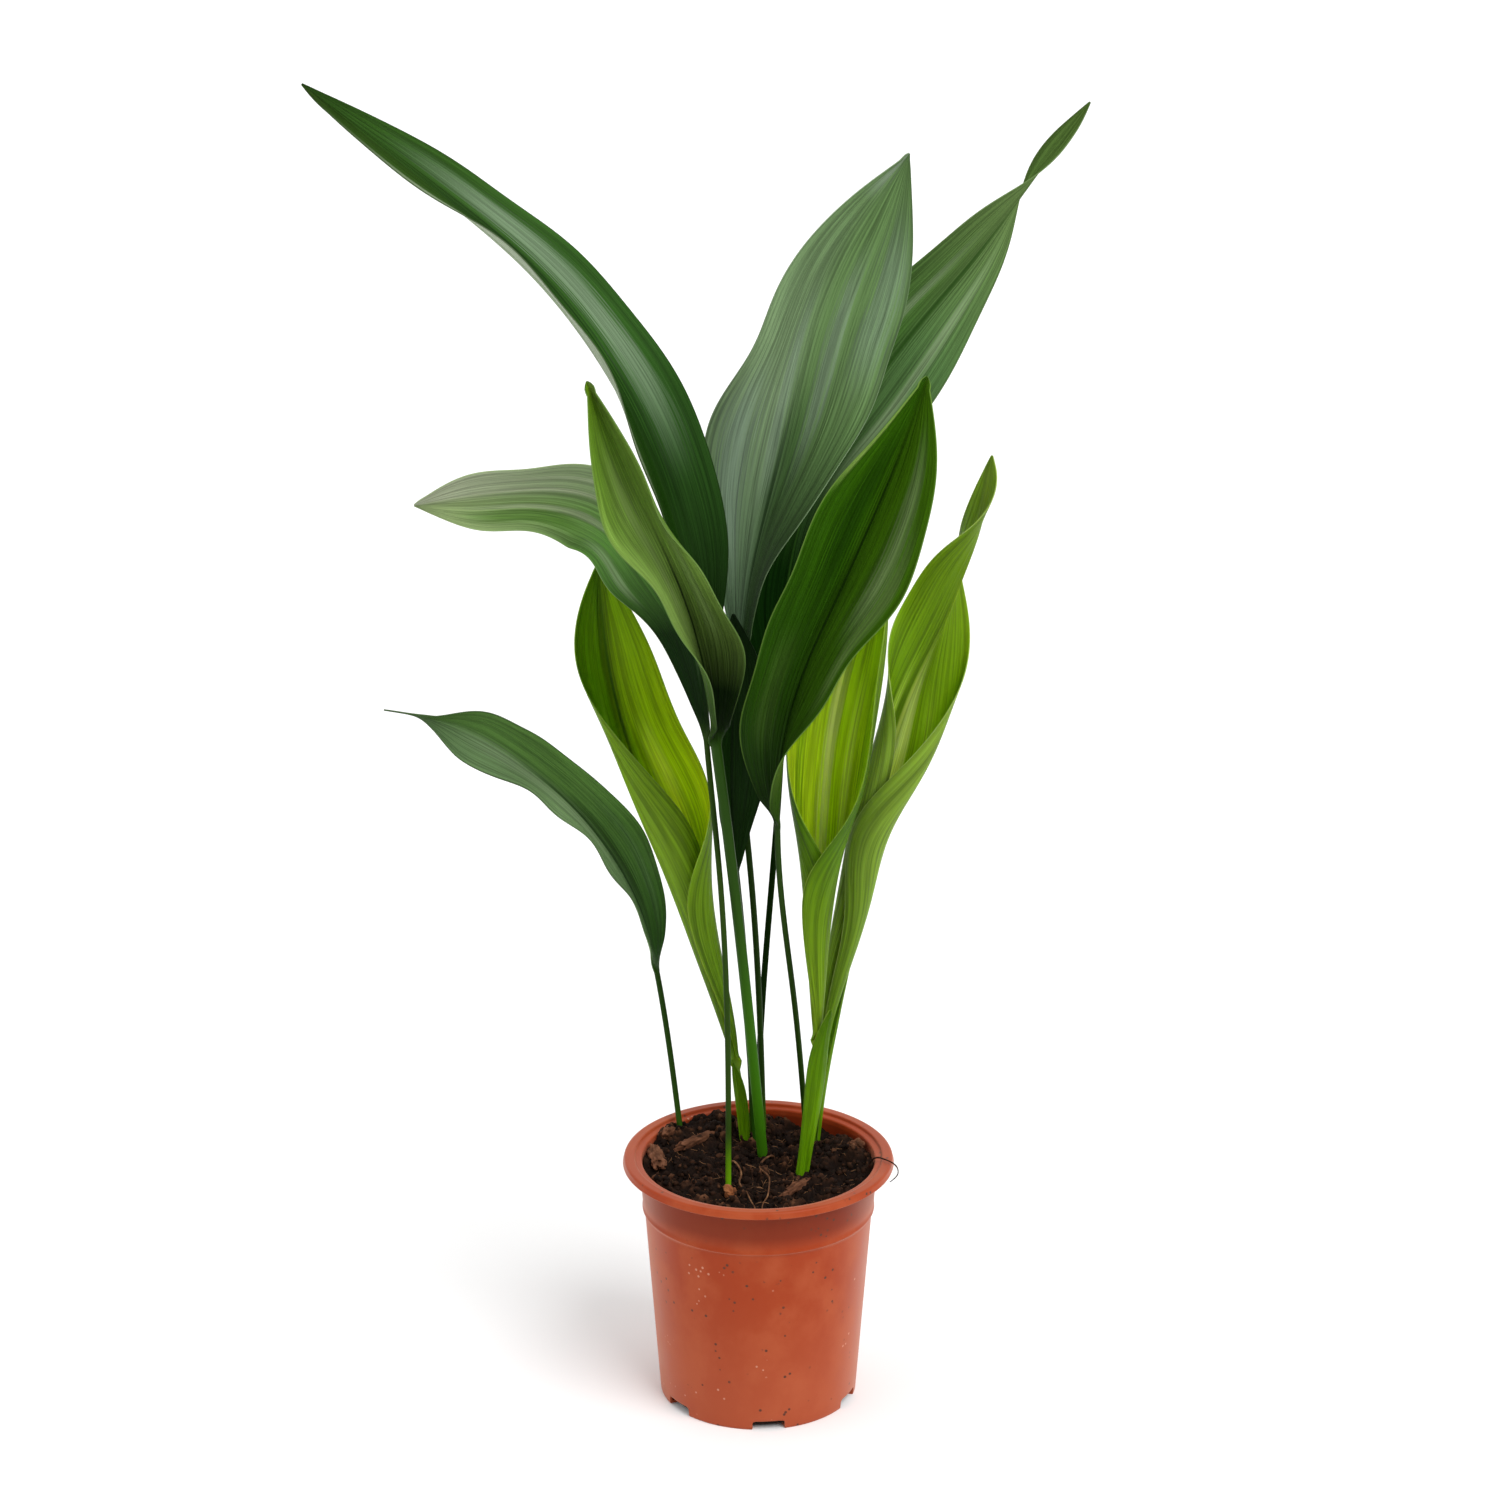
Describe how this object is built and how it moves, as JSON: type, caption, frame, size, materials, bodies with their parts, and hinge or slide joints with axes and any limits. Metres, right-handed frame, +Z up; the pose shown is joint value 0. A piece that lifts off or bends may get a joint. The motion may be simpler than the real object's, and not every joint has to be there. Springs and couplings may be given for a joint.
{
  "type": "potted cast iron plant",
  "caption": "Potted cast iron plant with long-stalked, lance-shaped, waved leaves and rolled young leaves rising from peat in a round ribless nursery pot with a rolled rim",
  "frame": {"origin": "the middle of the pot's flat underside", "axes": "+Z up, along the pot's axis and the plant's height; +X to the right and -Y to the front, where the level leaf and the low leaf reach out to the left"},
  "size_m": [0.3819, 0.2144, 0.6874],
  "materials": {
    "pot_plastic": "satin terracotta-coloured moulded plastic",
    "peat": "damp crumbly peat with fibres and bark crumbs",
    "leaf_deep": "glossy deep green leaf, parallel veined",
    "leaf_mature": "glossy mid-green leaf, parallel veined",
    "leaf_fresh": "satin green leaf, parallel veined",
    "leaf_young": "satin yellow-green young leaf with paler underside",
    "sheath": "satin fresh green scale leaf",
    "bark": "rough reddish-brown bark",
    "rhizome": "rough orange-brown rhizome",
    "root": "dry fibrous tan root"
  },
  "bodies": {
    "root": {"pot": "pot_plastic", "soil": "peat", "leaf_arching_left": "leaf_deep", "leaf_broad_centre": "leaf_mature", "leaf_upper_right": "leaf_deep", "leaf_front_right": "leaf_fresh", "leaf_front_left": "leaf_fresh", "leaf_level_left": "leaf_mature", "leaf_low_left": "leaf_deep", "leaf_inner_small": "leaf_deep", "leaf_young_left": "leaf_young", "leaf_young_middle": "leaf_young", "leaf_young_right": "leaf_young", "sheath_front_right": "sheath", "sheath_left": "sheath", "sheath_back_right": "sheath", "bark_chip_left": "bark", "bark_chip_back_left": "bark", "bark_chip_front": "bark", "bark_clod_right": "bark", "bark_sliver": "bark", "rhizome_tip": "rhizome", "root_over_rim": "root", "root_front_left": "root", "root_front_right": "root"}
  },
  "joints": []
}
